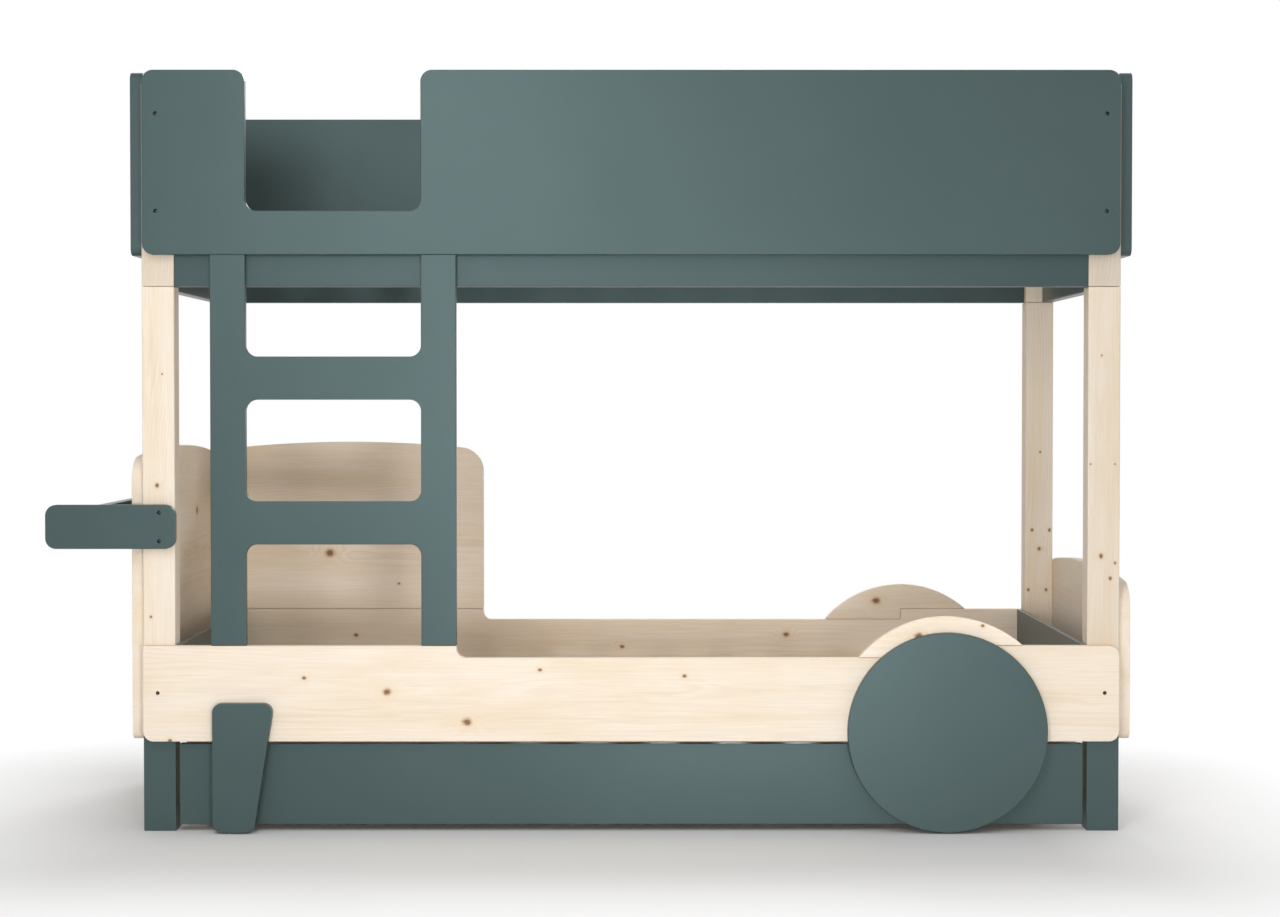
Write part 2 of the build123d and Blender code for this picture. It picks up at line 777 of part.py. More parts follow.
for name, (x, y) in caster_places.items():
    with BuildPart() as caster_wheel:
        with BuildSketch(caster_plane(x, y)):
            Circle(caster_radius)
        extrude(amount=caster_width / 2, both=True)
        chamfer(caster_wheel.edges().filter_by(GeomType.CIRCLE), length=caster_rim_ease)
        with Locations(caster_plane(x, y)):
            Hole(caster_axle_radius + caster_bore_gap, depth=caster_width)
    finish(caster_wheel, f"caster_wheel_{name}")


# Fasteners, each kind in one group
def bolt_shapes(bolts, length=bolt_length):
    """Bolts sunk a little below the faces that they start from."""
    with Locations(*[place.offset(-bolt_sink) for place in bolts]):
        Cylinder(bolt_radius, length, align=(Align.CENTER, Align.CENTER, Align.MAX))


with BuildPart() as front_bolt_group:
    bolt_shapes(front_bolts)
finish(front_bolt_group, "front_bolts")

with BuildPart() as back_bolt_group:
    bolt_shapes(back_bolts)
    bolt_shapes(shelf_back_bolts, long_bolt_length)
finish(back_bolt_group, "back_bolts")

with BuildPart() as end_bolt_group:
    bolt_shapes(end_bolts)
finish(end_bolt_group, "end_bolts")

with BuildPart() as leg_dowel_group:
    with Locations(*leg_dowels.values()):
        Cylinder(leg_dowel_radius, leg_dowel_length)
finish(leg_dowel_group, "leg_dowels")

with BuildPart() as stacking_pin_group:
    with Locations(*stacking_pins.values()):
        Cylinder(stacking_pin_radius, stacking_pin_length)
finish(stacking_pin_group, "stacking_pins")

with BuildPart() as board_dowel_group:
    with Locations(*board_dowels):
        Cylinder(dowel_radius, dowel_length)
finish(board_dowel_group, "board_dowels")
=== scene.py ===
import json
import random
from math import acos, asin, atan2, ceil, cos, pi, radians, sin, sqrt, tan

import bmesh
import bpy
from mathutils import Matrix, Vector


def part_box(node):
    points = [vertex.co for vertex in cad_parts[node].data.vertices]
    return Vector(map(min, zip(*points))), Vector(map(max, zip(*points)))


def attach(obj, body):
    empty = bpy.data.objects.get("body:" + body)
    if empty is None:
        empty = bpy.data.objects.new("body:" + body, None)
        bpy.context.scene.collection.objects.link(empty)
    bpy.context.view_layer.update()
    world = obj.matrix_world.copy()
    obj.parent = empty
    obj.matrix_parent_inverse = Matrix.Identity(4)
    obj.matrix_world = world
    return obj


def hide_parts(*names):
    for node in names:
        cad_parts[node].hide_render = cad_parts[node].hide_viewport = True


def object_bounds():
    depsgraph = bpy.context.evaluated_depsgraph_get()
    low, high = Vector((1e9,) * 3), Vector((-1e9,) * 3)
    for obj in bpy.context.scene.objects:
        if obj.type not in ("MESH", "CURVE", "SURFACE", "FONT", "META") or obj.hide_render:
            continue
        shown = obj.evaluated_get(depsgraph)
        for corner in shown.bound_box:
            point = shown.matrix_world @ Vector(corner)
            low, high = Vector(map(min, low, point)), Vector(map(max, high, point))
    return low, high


# The dress of a child's bunk bed: eased boards of pine and grey-green paint, bolts, slats and casters.
# Lengths are in metres. +X runs to the foot end, +Y to the back, +Z up.

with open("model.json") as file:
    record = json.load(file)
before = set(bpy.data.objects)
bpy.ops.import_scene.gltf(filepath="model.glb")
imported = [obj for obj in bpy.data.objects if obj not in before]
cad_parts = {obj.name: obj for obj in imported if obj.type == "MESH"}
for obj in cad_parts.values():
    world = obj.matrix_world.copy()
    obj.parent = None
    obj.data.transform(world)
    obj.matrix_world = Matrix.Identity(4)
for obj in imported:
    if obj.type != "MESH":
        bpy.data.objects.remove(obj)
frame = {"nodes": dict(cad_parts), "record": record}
cad_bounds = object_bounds()
low_corner, high_corner = cad_bounds
random.seed(11)

MM = 0.001
AXES = "xyz"
FLAT = {"y": (0, 2), "x": (1, 2), "z": (0, 1)}   # across and up in an outline seen along each axis

# Edge rounding of each kind of board
PAINT_EASE = 1.8 * MM
PINE_EASE = 2.0 * MM
POST_EASE = 2.0 * MM
SLAT_EASE = 2.5 * MM
PLY_EASE = 1.0 * MM
HOLE_EASE = 0.6 * MM
CORNER_SHARE = 1.3           # smallest corner radius, as a share of the edge's rounding
CURVE_TOLERANCE = 0.03 * MM  # chord error of the arcs
RIM_STEPS = 4
LEAST_TURN_SHARE = 0.3       # keeps the inset of a sharp corner short
WELD = 0.001 * MM            # points closer than this are one
SHARP_ANGLE = radians(50)    # edges sharper than this stay hard in the shading

# Corner radii and hole sizes of the boards
RAIL_CORNER = 22 * MM
RAIL_HOLLOW = 20 * MM
GUARD_CORNER = 25 * MM
END_CORNER = 17 * MM
CROWN_CORNER = 60 * MM
END_CROWN_RISE = 23 * MM
PANEL_CROWN_RISE = 20 * MM
LADDER_STILE = 75 * MM
LADDER_RUNG = 92 * MM
LADDER_CORNER = 24 * MM
NOTCH_SILL = 93 * MM
SHELF_CORNER = 23 * MM
FOOT_CORNER = 20 * MM
FOOT_BOTTOM = 88 * MM
BORE_RADIUS = 4.25 * MM
SEAM = 0.8 * MM              # shadow gap where a board stands on a rail or a post on a post


# Outlines
def arc(centre, radius, start, sweep):
    """Points along an arc, both ends included."""
    step = 2 * acos(max(1 - CURVE_TOLERANCE / radius, 0.5))
    count = max(3, ceil(abs(sweep) / step))
    return [Vector((centre[0] + radius * cos(start + sweep * k / count),
                    centre[1] + radius * sin(start + sweep * k / count))) for k in range(count + 1)]


def circle(u, v, radius):
    """Closed round loop."""
    return arc((u, v), radius, 0, 2 * pi)[:-1]


def rounded(corners, least):
    """Closed loop through corners given as (u, v) or (u, v, radius)."""
    points = []
    for index, corner in enumerate(corners):
        here = Vector(corner[:2])
        radius = corner[2] if len(corner) > 2 else least
        before = (Vector(corners[index - 1][:2]) - here).normalized()
        after = (Vector(corners[(index + 1) % len(corners)][:2]) - here).normalized()
        half = before.angle(after) / 2
        centre = here + (before + after).normalized() * (radius / sin(half))
        first = here + before * (radius / tan(half)) - centre
        turn = 1 if before.cross(after) < 0 else -1
        points += arc(centre, radius, atan2(first.y, first.x), turn * (pi - 2 * half))
    return points


def oblong(u0, v0, u1, v1, radius):
    """Rectangle with equal round corners."""
    return rounded([(u0, v0), (u1, v0), (u1, v1), (u0, v1)], radius)


def crowned(u0, v0, u1, v1, rise, corner, foot):
    """Board whose top is a shallow arc running into rounded shoulders."""
    half, middle = (u1 - u0) / 2, (u0 + u1) / 2
    radius = (half**2 + rise**2) / (2 * rise)
    centre_v = v1 - radius
    drop = sqrt((radius - corner) ** 2 - (half - corner) ** 2)
    lean = asin((half - corner) / (radius - corner))
    return [
        *arc((u1 - foot, v0 + foot), foot, -pi / 2, pi / 2),
        *arc((u1 - corner, centre_v + drop), corner, 0, pi / 2 - lean),
        *arc((middle, centre_v), radius, pi / 2 - lean, 2 * lean)[1:-1],
        *arc((u0 + corner, centre_v + drop), corner, pi / 2 + lean, pi / 2 - lean),
        *arc((u0 + foot, v0 + foot), foot, pi, pi / 2),
    ]


# Solids
PLACE = {
    "y": lambda u, v, w: Vector((u, w, v)),
    "x": lambda u, v, w: Vector((w, u, v)),
    "z": lambda u, v, w: Vector((u, v, w)),
}


def wound(loop, forward):
    """The loop, turned anticlockwise when forward and clockwise otherwise."""
    area = sum(a.cross(b) for a, b in zip(loop, loop[1:] + loop[:1]))
    return loop if (area > 0) == forward else loop[::-1]


def inset(loop, amount):
    """The loop moved to its left by an amount."""
    moved = []
    for index, here in enumerate(loop):
        ahead = (loop[(index + 1) % len(loop)] - here).normalized()
        behind = (here - loop[index - 1]).normalized()
        normal = Vector((-ahead.y - behind.y, ahead.x + behind.x)).normalized()
        turn = max(normal.dot(Vector((-ahead.y, ahead.x))), LEAST_TURN_SHARE)
        moved.append(here + normal * (amount / turn))
    return moved


def add_board(mesh, axis, outline, holes, low, high, ease):
    """A flat board between two depths along an axis, with rounded edges and rounded hole rims."""
    caps = {low: [], high: []}
    place = PLACE[axis]
    for loop, forward, soft in [(outline, True, ease)] + [(hole, False, HOLE_EASE) for hole in holes]:
        loop = wound(loop, forward)
        turns = [pi / 2 * k / RIM_STEPS for k in range(RIM_STEPS + 1)]
        rings = [(soft * (1 - cos(turn)), low + soft * (1 - sin(turn))) for turn in reversed(turns)]
        rings += [(soft * (1 - cos(turn)), high - soft * (1 - sin(turn))) for turn in turns]
        previous = None
        for offset, depth in rings:
            verts = [mesh.verts.new(place(p.x, p.y, depth)) for p in inset(loop, offset)]
            if previous:
                for k in range(len(verts)):
                    mesh.faces.new((previous[k - 1], previous[k], verts[k], verts[k - 1]))
            else:
                first = verts
            previous = verts
        for depth, ring in ((low, first), (high, previous)):
            caps[depth] += [mesh.edges.get((ring[k - 1], ring[k])) for k in range(len(ring))]
    for edges in caps.values():
        bmesh.ops.triangle_fill(mesh, use_beauty=True, edges=edges)


def add_loft(mesh, rings, closed=False):
    """Skin over rings of points, with its two ends filled unless the rings close on themselves."""
    loops = [[mesh.verts.new(point) for point in ring] for ring in rings]
    pairs = list(zip(loops, loops[1:])) + ([(loops[-1], loops[0])] if closed else [])
    for first, second in pairs:
        for k in range(len(first)):
            mesh.faces.new((first[k - 1], first[k], second[k], second[k - 1]))
    if not closed:
        mesh.faces.new(loops[0])
        mesh.faces.new(loops[-1])


def make_piece(name, mesh, material, body, nodes=()):
    """Turn a mesh into a finished piece that rides on a body and stands for its nodes."""
    bmesh.ops.recalc_face_normals(mesh, faces=mesh.faces)
    data = bpy.data.meshes.new(name)
    mesh.to_mesh(data)
    mesh.free()
    data.shade_smooth()
    data.set_sharp_from_angle(angle=SHARP_ANGLE)
    data.materials.append(material)
    piece = bpy.data.objects.new(name, data)
    bpy.context.scene.collection.objects.link(piece)
    even = piece.modifiers.new("even", "WEIGHTED_NORMAL")
    even.keep_sharp = True
    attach(piece, body)
    if nodes:
        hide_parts(*nodes)
    return piece


# Materials
def wire(tree, kind, inputs=None, **settings):
    """Add a node, with sockets or constants for its inputs."""
    made = tree.nodes.new(kind)
    for key, value in settings.items():
        setattr(made, key, value)
    for key, value in (inputs or {}).items():
        if isinstance(value, bpy.types.NodeSocket):
            tree.links.new(value, made.inputs[key])
        else:
            made.inputs[key].default_value = value
    return made


def maths(tree, operation, *values):
    """Output of a math node."""
    return wire(tree, "ShaderNodeMath", dict(enumerate(values)), operation=operation).outputs[0]


def span(tree, value, low, high, to_low=0.0, to_high=1.0, kind="SMOOTHSTEP"):
    """Output of a map range node."""
    return wire(tree, "ShaderNodeMapRange", {"Value": value, "From Min": low, "From Max": high,
                                             "To Min": to_low, "To Max": to_high},
                interpolation_type=kind).outputs[0]


def blend(tree, factor, first, second, mode="MIX"):
    """Output of a colour mix."""
    made = wire(tree, "ShaderNodeMix", data_type="RGBA", blend_type=mode)
    for socket, value in zip((made.inputs[0], made.inputs[6], made.inputs[7]), (factor, first, second)):
        if isinstance(value, bpy.types.NodeSocket):
            tree.links.new(value, socket)
        else:
            socket.default_value = value
    return made.outputs[2]


def noise(tree, vector, scale, detail=2.0, roughness=0.5):
    """Grey noise between 0 and 1 on a vector."""
    made = wire(tree, "ShaderNodeTexNoise", {"Vector": vector, "Scale": scale, "Detail": detail,
                                             "Roughness": roughness})
    return made.outputs["Fac"]


def start_material(name, roughness, specular=0.5, metallic=0.0):
    """New material with constant gloss. Returns it, its tree and its shader."""
    material = bpy.data.materials.new(name)
    material.use_nodes = True
    shader = material.node_tree.nodes["Principled BSDF"]
    shader.inputs["Roughness"].default_value = roughness
    shader.inputs["Specular IOR Level"].default_value = specular
    shader.inputs["Metallic"].default_value = metallic
    return material, material.node_tree, shader


def place_of(tree):
    """Object coordinates."""
    return wire(tree, "ShaderNodeTexCoord").outputs["Object"]


def seen_rays(tree):
    """1 for what the camera sees directly, in a reflection or through glass."""
    rays = wire(tree, "ShaderNodeLightPath").outputs
    seen = maths(tree, "MAXIMUM", rays["Is Camera Ray"], rays["Is Glossy Ray"])
    return maths(tree, "MAXIMUM", seen, rays["Is Transmission Ray"])


def raise_bump(tree, shader, height, distance, strength=1.0):
    """Drive the shader's normal with a height."""
    bump = wire(tree, "ShaderNodeBump", {"Height": height, "Distance": distance, "Strength": strength})
    tree.links.new(bump.outputs["Normal"], shader.inputs["Normal"])


def vector_maths(tree, operation, *values, output=0):
    """Output of a vector math node."""
    return wire(tree, "ShaderNodeVectorMath", dict(enumerate(values)), operation=operation).outputs[output]


# Gloss of each material: roughness and specular
PINE_GLOSS = (0.56, 0.35)
PAINT_GLOSS = (0.35, 0.40)
RUBBER_GLOSS = (0.68, 0.35)
PLY_GLOSS = (0.6, 0.3)
FLOOR_GLOSS = (0.7, 0.2)

# Wood colours
PALE = (0.866, 0.772, 0.655, 1)
HONEY = (0.800, 0.655, 0.475, 1)
LATE = (0.700, 0.530, 0.375, 1)
KNOT_RING = (0.500, 0.290, 0.150, 1)
KNOT_CORE = (0.190, 0.095, 0.050, 1)
KNOT_SHADES = (HONEY, KNOT_RING, KNOT_CORE)

# Wood noise: stretch along the grain, scale, detail and roughness
SWAY_NOISE = (0.18, 7, 2)
LIFT_NOISE = (0.14, 9, 2)
RIPPLE_NOISE = (0.10, 60, 3)
RING_NOISE = (0.12, 11, 2)
STREAK_NOISE = (0.05, 26, 4, 0.6)
PATCH_NOISE = (0.28, 11, 5, 0.62)
FIBRE_NOISE = (0.012, 700, 2, 0.6)
KNOT_EDGE_NOISE = (0.8, 160, 2)

# How far the rings wander, and how wide they are
SWAY = 40 * MM
LIFT = 34 * MM
RIPPLE = 5 * MM
RING_WIDTH = 6.2 * MM
FIBRE_DEPTH = 0.12 * MM
SEED_REACH = 40

# Ramps: from, to, and the values at both, 0 and 1 where they aren't given
LATE_RISE = (0.25, 0.86)
LATE_FALL = (0.90, 1.0, 1, 0)
RING_STRENGTH = (0.42, 0.75, 0.03, 0.36)
STREAK_STRENGTH = (0.42, 0.72, 0, 0.42)
PATCH_STRENGTH = (0.42, 0.70, 0, 0.55)
FIBRE_STRENGTH = (0.25, 0.75, 0.80, 1.14)
KNOT_SWELL = (0.6, 4.5, 12 * MM, 0)
KNOT_EDGE = (0, 1, -0.35, 0.35)
KNOT_RAMPS = ((0.8, 3.4, 0.50, 0), (0.60, 1.45, 0.72, 0), (0.35, 0.90, 0.92, 0))

# Shares
KNOT_LENGTH_SHARE = 0.8      # a knot is drawn out along the grain
FIBRE_SHARE = 0.35
LATE_BUMP_SHARE = 0.4
TONE_SHARES = (1, 0.992, 0.984)


def shaded(colour, shares):
    """A colour with each channel scaled by its share."""
    return tuple(channel * share for channel, share in zip(colour, shares)) + (1,)


def pine(name, along, through, centre, knots, pith, tone_and_painted_light):
    """Knotty pine with its grain along one axis and its face square to another.

    Knots are (place along the grain, place across it, radius), in the part's own frame.
    """
    material, tree, shader = start_material(name, *PINE_GLOSS)
    across = next(axis for axis in AXES if axis not in (along, through))
    local = vector_maths(tree, "SUBTRACT", place_of(tree), tuple(centre))
    split = wire(tree, "ShaderNodeSeparateXYZ", {0: local}).outputs
    length, width, depth = (split[AXES.index(axis)] for axis in (along, across, through))
    length_seeded = maths(tree, "ADD", length, random.uniform(-SEED_REACH, SEED_REACH))

    def grain(stretch, scale, detail, roughness=0.5):
        """Noise drawn out along the grain."""
        place = wire(tree, "ShaderNodeCombineXYZ", {0: maths(tree, "MULTIPLY", length_seeded, stretch),
                                                    1: width, 2: depth}).outputs[0]
        return noise(tree, place, scale, detail, roughness)

    sway = span(tree, grain(*SWAY_NOISE), 0, 1, -SWAY, SWAY, "LINEAR")
    lift = span(tree, grain(*LIFT_NOISE), 0, 1, -LIFT, LIFT, "LINEAR")
    ripple = span(tree, grain(*RIPPLE_NOISE), 0, 1, -RIPPLE, RIPPLE, "LINEAR")
    near = None
    for along_knot, across_knot, size in knots:
        past_length = maths(tree, "SUBTRACT", length, along_knot - centre[AXES.index(along)])
        past_width = maths(tree, "SUBTRACT", width, across_knot - centre[AXES.index(across)])
        offset = wire(tree, "ShaderNodeCombineXYZ", {
            0: maths(tree, "MULTIPLY", past_length, KNOT_LENGTH_SHARE / size),
            1: maths(tree, "MULTIPLY", past_width, 1 / size),
        }).outputs[0]
        reach = vector_maths(tree, "LENGTH", offset, output="Value")
        near = maths(tree, "MINIMUM", near, reach) if near else reach
    ring_place = wire(tree, "ShaderNodeCombineXYZ", {
        0: maths(tree, "ADD", maths(tree, "ADD", width, pith[0]), sway),
        1: maths(tree, "ADD", maths(tree, "ADD", depth, pith[1]), maths(tree, "ADD", lift, ripple)),
    }).outputs[0]
    radius = vector_maths(tree, "LENGTH", ring_place, output="Value")
    if near:
        radius = maths(tree, "ADD", radius, span(tree, near, *KNOT_SWELL))
    phase = maths(tree, "FRACT", maths(tree, "DIVIDE", radius, RING_WIDTH))
    late = maths(tree, "MULTIPLY", span(tree, phase, *LATE_RISE), span(tree, phase, *LATE_FALL))
    strength = span(tree, grain(*RING_NOISE), *RING_STRENGTH)
    colour = blend(tree, span(tree, grain(*STREAK_NOISE), *STREAK_STRENGTH), PALE, HONEY)
    colour = blend(tree, maths(tree, "MULTIPLY", late, strength), colour, LATE)
    colour = blend(tree, span(tree, grain(*PATCH_NOISE), *PATCH_STRENGTH), colour, HONEY)
    fibre = grain(*FIBRE_NOISE)
    fibre_shade = wire(tree, "ShaderNodeCombineColor", {
        channel: span(tree, fibre, *FIBRE_STRENGTH, "LINEAR") for channel in range(3)
    }).outputs[0]
    colour = blend(tree, FIBRE_SHARE, colour, fibre_shade, "MULTIPLY")
    if near:
        rough_edge = maths(tree, "ADD", near, span(tree, grain(*KNOT_EDGE_NOISE), *KNOT_EDGE, "LINEAR"))
        for ramp, shade in zip(KNOT_RAMPS, KNOT_SHADES):
            colour = blend(tree, span(tree, rough_edge, *ramp), colour, shade)
    # The tone also carries painted shade and painted light on some boards.
    colour = blend(tree, 1.0, colour, shaded((tone_and_painted_light, tone_and_painted_light, tone_and_painted_light), TONE_SHARES), "MULTIPLY")
    tree.links.new(colour, shader.inputs["Base Color"])
    height = maths(tree, "ADD", fibre, maths(tree, "MULTIPLY", late, LATE_BUMP_SHARE))
    raise_bump(tree, shader, height, FIBRE_DEPTH)
    return material


# Paint: colours, noise as scale, detail and roughness, ramps and depth
PAINT = (0.048, 0.072, 0.073, 1)
PAINT_LIGHT = (0.054, 0.080, 0.081, 1)
PAINT_SHEEN = (0.72, 1.0, 1.04, 1)
CLOUD_NOISE = (2.2, 3, 0.55)
SPECK_NOISE = (240, 2, 0.6)
PEEL_NOISE = (420, 2, 0.5)
CLOUD_STRENGTH = (0.3, 0.7)
SPECK_STRENGTH = (0.55, 0.8, 0, 0.10)
SPECK_BUMP_SHARE = 0.5
PAINT_SHARES = (1, 1, 0.97)
PEEL_DEPTH = 0.08 * MM


def paint(name, depth):
    """Satin grey-green paint, rolled on, with a faint orange peel. Depth scales its colour; below 1 it
    darkens the coat as painted shade.
    """
    material, tree, shader = start_material(name, *PAINT_GLOSS)
    shader.inputs["Specular Tint"].default_value = PAINT_SHEEN
    place = place_of(tree)
    cloud = noise(tree, place, *CLOUD_NOISE)
    speck = noise(tree, place, *SPECK_NOISE)
    colour = blend(tree, span(tree, cloud, *CLOUD_STRENGTH), PAINT, PAINT_LIGHT)
    colour = blend(tree, span(tree, speck, *SPECK_STRENGTH), colour, PAINT_LIGHT)
    # Depth below 1 is painted shade, laid on as a darker coat.
    colour = blend(tree, 1.0, colour, shaded((depth, depth, depth), PAINT_SHARES), "MULTIPLY")
    tree.links.new(colour, shader.inputs["Base Color"])
    rise = maths(tree, "MULTIPLY", speck, SPECK_BUMP_SHARE)
    peel = maths(tree, "ADD", noise(tree, place, *PEEL_NOISE), rise)
    raise_bump(tree, shader, peel, PEEL_DEPTH)
    return material


BLOOM_NOISE = (90, 3, 0.6)
BLOOM_STRENGTH = (0.35, 0.7)
BLOOM_SHARES = (0.8, 0.8, 0.8)
STEEL_NOISE = (1500, 2)
STEEL_DEPTH = 0.03 * MM
STEEL_SPECULAR = 0.5
METAL = 1.0


def steel(name, colour, roughness):
    """Zinc plated steel with a faint bloom."""
    material, tree, shader = start_material(name, roughness, STEEL_SPECULAR, METAL)
    place = place_of(tree)
    bloom = span(tree, noise(tree, place, *BLOOM_NOISE), *BLOOM_STRENGTH)
    tree.links.new(blend(tree, bloom, colour, shaded(colour, BLOOM_SHARES)), shader.inputs["Base Color"])
    raise_bump(tree, shader, noise(tree, place, *STEEL_NOISE), STEEL_DEPTH)
    return material


DUST_NOISE = (60, 3, 0.6)
DUST_STRENGTH = (0.45, 0.75, 0, 0.5)
DUST_SHARES = (1.7, 1.7, 1.7)
RUBBER_NOISE = (900, 2)
RUBBER_DEPTH = 0.06 * MM


def rubber(name, colour):
    """Matt moulded rubber or plastic."""
    material, tree, shader = start_material(name, *RUBBER_GLOSS)
    place = place_of(tree)
    dust = span(tree, noise(tree, place, *DUST_NOISE), *DUST_STRENGTH)
    tree.links.new(blend(tree, dust, colour, shaded(colour, DUST_SHARES)), shader.inputs["Base Color"])
    raise_bump(tree, shader, noise(tree, place, *RUBBER_NOISE), RUBBER_DEPTH)
    return material


PLY_FACE = (0.760, 0.610, 0.430, 1)
PLY_DARK = (0.560, 0.390, 0.230, 1)
PLY_STRETCH = (12.0, 0.8)       # across the grain and along it
PLY_NOISE = (4, 4, 0.6)
PLY_STRENGTH = (0.3, 0.75, 0, 0.45)
PLY_CROSS_RISE = (0.46, 0.54)   # where a cross veneer starts and ends in each pair
PLY_CROSS_FALL = (0.94, 1.0, 1, 0)
PLY_CROSS_SHARE = 0.55
PLY_DEPTH = 0.1 * MM


def plywood(name, through, along, start, veneer):
    """Birch plywood: veneers show as stripes on the edges and as grain on the faces."""
    material, tree, shader = start_material(name, *PLY_GLOSS)
    split = wire(tree, "ShaderNodeSeparateXYZ", {0: place_of(tree)}).outputs
    depth = maths(tree, "SUBTRACT", split[AXES.index(through)], start)
    layer = maths(tree, "FRACT", maths(tree, "DIVIDE", depth, 2 * veneer))
    cross = maths(tree, "MULTIPLY", span(tree, layer, *PLY_CROSS_RISE), span(tree, layer, *PLY_CROSS_FALL))
    stretch = tuple(PLY_STRETCH[axis == along] for axis in AXES)
    figure = noise(tree, vector_maths(tree, "MULTIPLY", place_of(tree), stretch), *PLY_NOISE)
    colour = blend(tree, span(tree, figure, *PLY_STRENGTH), PLY_FACE, PLY_DARK)
    colour = blend(tree, maths(tree, "MULTIPLY", cross, PLY_CROSS_SHARE), colour, PLY_DARK)
    tree.links.new(colour, shader.inputs["Base Color"])
    raise_bump(tree, shader, figure, PLY_DEPTH)
    return material


# Places read from the frame
def limits(node):
    """x0, y0, z0, x1, y1, z1 of a node."""
    low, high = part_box(node)
    return (*low, *high)


def sides(node, axis):
    """u0, v0, u1, v1 of a node seen along an axis, and its two depths."""
    low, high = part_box(node)
    u, v = FLAT[axis]
    w = AXES.index(axis)
    return (low[u], low[v], high[u], high[v]), (low[w], high[w])


def solids_of(node):
    """The low and high corner of each separate solid of a node."""
    mesh = bmesh.new()
    mesh.from_mesh(frame["nodes"][node].data)
    bmesh.ops.remove_doubles(mesh, verts=mesh.verts, dist=WELD)
    left, boxes = set(mesh.verts), []
    while left:
        group, front = set(), [left.pop()]
        while front:
            vert = front.pop()
            group.add(vert)
            linked = {edge.other_vert(vert) for edge in vert.link_edges} & left
            left -= linked
            front += linked
        low, high = ([pick(vert.co[k] for vert in group) for k in range(3)] for pick in (min, max))
        boxes.append((Vector(low), Vector(high)))
    mesh.free()
    return sorted(boxes, key=lambda box: tuple(round(c, 4) for c in box[0]))


BOLTS = {node: solids_of(node) for node in ("front_bolts", "back_bolts", "end_bolts")}
BOLT_AXIS = {"front_bolts": "y", "back_bolts": "y", "end_bolts": "x"}


def bores(node, axis):
    """Round holes where bolts pass through a board."""
    (u0, v0, u1, v1), (low, high) = sides(node, axis)
    u, v = FLAT[axis]
    w = AXES.index(axis)
    holes = []
    for group, boxes in BOLTS.items():
        if BOLT_AXIS[group] != axis:
            continue
        for near_corner, far_corner in boxes:
            middle = (near_corner + far_corner) / 2
            through = near_corner[w] < high and far_corner[w] > low
            if through and u0 < middle[u] < u1 and v0 < middle[v] < v1:
                holes.append(circle(middle[u], middle[v], BORE_RADIUS))
    return holes


FRAME_BODY = "bed_frame"
DRAWER_BODY = "trundle"
DRAWER_NODES = set(frame["record"]["behaviour"]["bodies"][DRAWER_BODY])
LADDER_LEFT, _, LADDER_LOW, LADDER_RIGHT, _, LADDER_HIGH = limits("ladder")
GAP_LEFT, GAP_RIGHT = LADDER_LEFT + LADDER_STILE, LADDER_RIGHT - LADDER_STILE
DISC_LOW, DISC_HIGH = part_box("wheel_disc")
WHEEL_X, WHEEL_Z = (DISC_LOW.x + DISC_HIGH.x) / 2, (DISC_LOW.z + DISC_HIGH.z) / 2
RAIL_LOW_TOP = limits("front_arch")[2]
RAIL_HIGH_TOP = limits("lower_front_rail")[5]


def board(node, axis, material, ease, outline=None, holes=(), boxes=None):
    """Rebuild a node as an eased board. Without an outline it is a plain rectangle for each of its boxes."""
    mesh = bmesh.new()
    flat, depths = sides(node, axis)
    if boxes:
        u, v = FLAT[axis]
        w = AXES.index(axis)
        for low, high in boxes:
            loop = oblong(low[u], low[v], high[u], high[v], CORNER_SHARE * ease)
            add_board(mesh, axis, loop, [], low[w], high[w], ease)
    else:
        loop = outline or oblong(*flat, CORNER_SHARE * ease)
        drilled = bores(node, axis) if axis != "z" else []
        add_board(mesh, axis, loop, [*holes, *drilled], *depths, ease)
    body = DRAWER_BODY if node in DRAWER_NODES else FRAME_BODY
    return make_piece(f"{node}_dress", mesh, material, body, [node])


def entry_panel():
    """Front guard panel with the notch above the ladder."""
    (u0, v0, u1, v1), _ = sides("upper_front_panel", "y")
    sill = v0 + NOTCH_SILL
    return rounded([(u0, v0), (u1, v0), (u1, v1), (GAP_RIGHT, v1), (GAP_RIGHT, sill),
                    (GAP_LEFT, sill), (GAP_LEFT, v1), (u0, v1)], GUARD_CORNER)


def ladder_outline(least):
    """Outline of the ladder, open at its foot and its head, and its middle opening."""
    gap = (LADDER_HIGH - LADDER_LOW - 2 * LADDER_RUNG) / 3
    first, second = LADDER_LOW + gap, LADDER_HIGH - gap
    outline = rounded([
        (LADDER_LEFT, LADDER_LOW), (GAP_LEFT, LADDER_LOW),
        (GAP_LEFT, first, LADDER_CORNER), (GAP_RIGHT, first, LADDER_CORNER),
        (GAP_RIGHT, LADDER_LOW), (LADDER_RIGHT, LADDER_LOW),
        (LADDER_RIGHT, LADDER_HIGH), (GAP_RIGHT, LADDER_HIGH),
        (GAP_RIGHT, second, LADDER_CORNER), (GAP_LEFT, second, LADDER_CORNER),
        (GAP_LEFT, LADDER_HIGH), (LADDER_LEFT, LADDER_HIGH),
    ], least)
    middle = oblong(GAP_LEFT, first + LADDER_RUNG, GAP_RIGHT, second - LADDER_RUNG, LADDER_CORNER)
    return outline, middle


def rail_outline(node, least):
    """Lower rail with its stepped top."""
    (u0, v0, u1, v1), _ = sides(node, "y")
    return rounded([(u0, v0, RAIL_CORNER), (u1, v0, RAIL_CORNER), (u1, v1, RAIL_CORNER), (WHEEL_X, v1),
                    (WHEEL_X, RAIL_LOW_TOP), (LADDER_RIGHT, RAIL_LOW_TOP, RAIL_HOLLOW),
                    (LADDER_RIGHT, v1), (u0, v1)], least)


